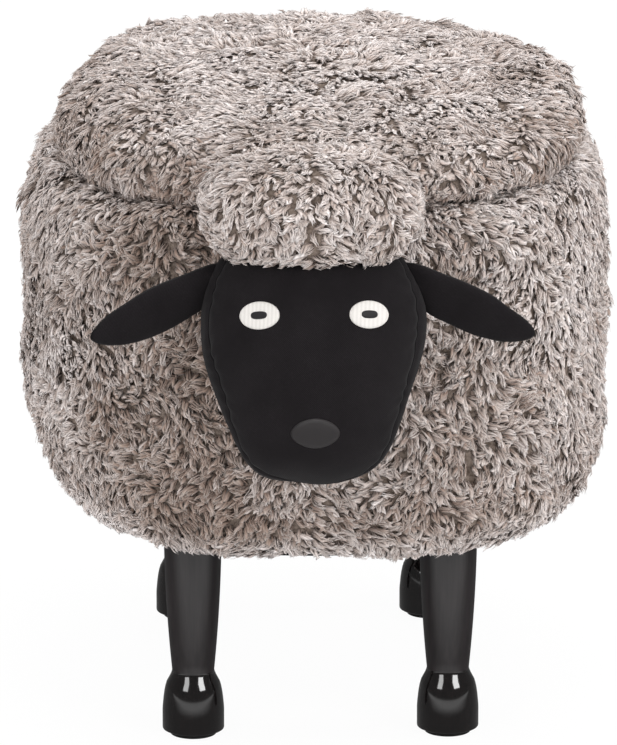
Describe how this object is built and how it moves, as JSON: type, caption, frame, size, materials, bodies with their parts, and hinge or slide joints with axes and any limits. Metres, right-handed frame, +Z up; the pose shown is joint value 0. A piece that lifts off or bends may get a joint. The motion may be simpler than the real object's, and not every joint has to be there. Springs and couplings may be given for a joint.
{
  "type": "animal footstool",
  "caption": "Sheep-shaped footstool: oval fleece-covered upholstered drum on turned wooden legs with hoof feet, with a stuffed twill head, drooping ears and a short tail.",
  "frame": {"origin": "on the floor, below the middle of the whole footstool's width and length, head and tail included", "axes": "+Z up from the floor, -Y towards the head, +X to the right of someone who faces the head"},
  "size_m": [0.378, 0.6094, 0.411],
  "materials": {
    "grey_fleece": "curly long pile, warm grey with browner roots",
    "polyester_wadding": "soft bonded wadding",
    "seat_foam": "cut polyurethane foam",
    "fibre_filling": "loose polyester filling",
    "plywood": "raw birch plywood",
    "hardboard": "raw thin hardboard",
    "pine": "planed softwood",
    "black_lacquer": "black lacquer, semi-gloss on the shafts and glossier on the hoofs",
    "nonwoven_cloth": "thin black non-woven cloth",
    "black_nylon": "moulded black nylon",
    "zinc_plated_steel": "bright zinc plating",
    "black_twill": "matte black cotton twill",
    "white_thread": "off-white satin-stitch embroidery",
    "grey_thread": "dark grey satin-stitch embroidery"
  },
  "bodies": {
    "root": {"fleece_top_cover": "grey_fleece", "fleece_side_cover": "grey_fleece", "poll_fleece": "grey_fleece", "tail": "grey_fleece", "seat_wadding": "polyester_wadding", "side_wadding": "polyester_wadding", "seat_foam": "seat_foam", "side_foam": "seat_foam", "head_stuffing": "fibre_filling", "head_cover": "black_twill", "ear_left": "black_twill", "ear_right": "black_twill", "eye_left": "white_thread", "eye_right": "white_thread", "nose_patch": "grey_thread", "base_board": "plywood", "seat_board": "plywood", "frame_wrap": "hardboard", "corner_post_front_left": "pine", "corner_post_front_right": "pine", "corner_post_rear_left": "pine", "corner_post_rear_right": "pine", "bottom_cover": "nonwoven_cloth", "leg_front_left": "black_lacquer", "leg_front_right": "black_lacquer", "leg_rear_left": "black_lacquer", "leg_rear_right": "black_lacquer", "glide_front_left": "black_nylon", "glide_front_right": "black_nylon", "glide_rear_left": "black_nylon", "glide_rear_right": "black_nylon", "hanger_bolt_front_left": "zinc_plated_steel", "hanger_bolt_front_right": "zinc_plated_steel", "hanger_bolt_rear_left": "zinc_plated_steel", "hanger_bolt_rear_right": "zinc_plated_steel", "tee_nut_front_left": "zinc_plated_steel", "tee_nut_front_right": "zinc_plated_steel", "tee_nut_rear_left": "zinc_plated_steel", "tee_nut_rear_right": "zinc_plated_steel"}
  },
  "joints": []
}
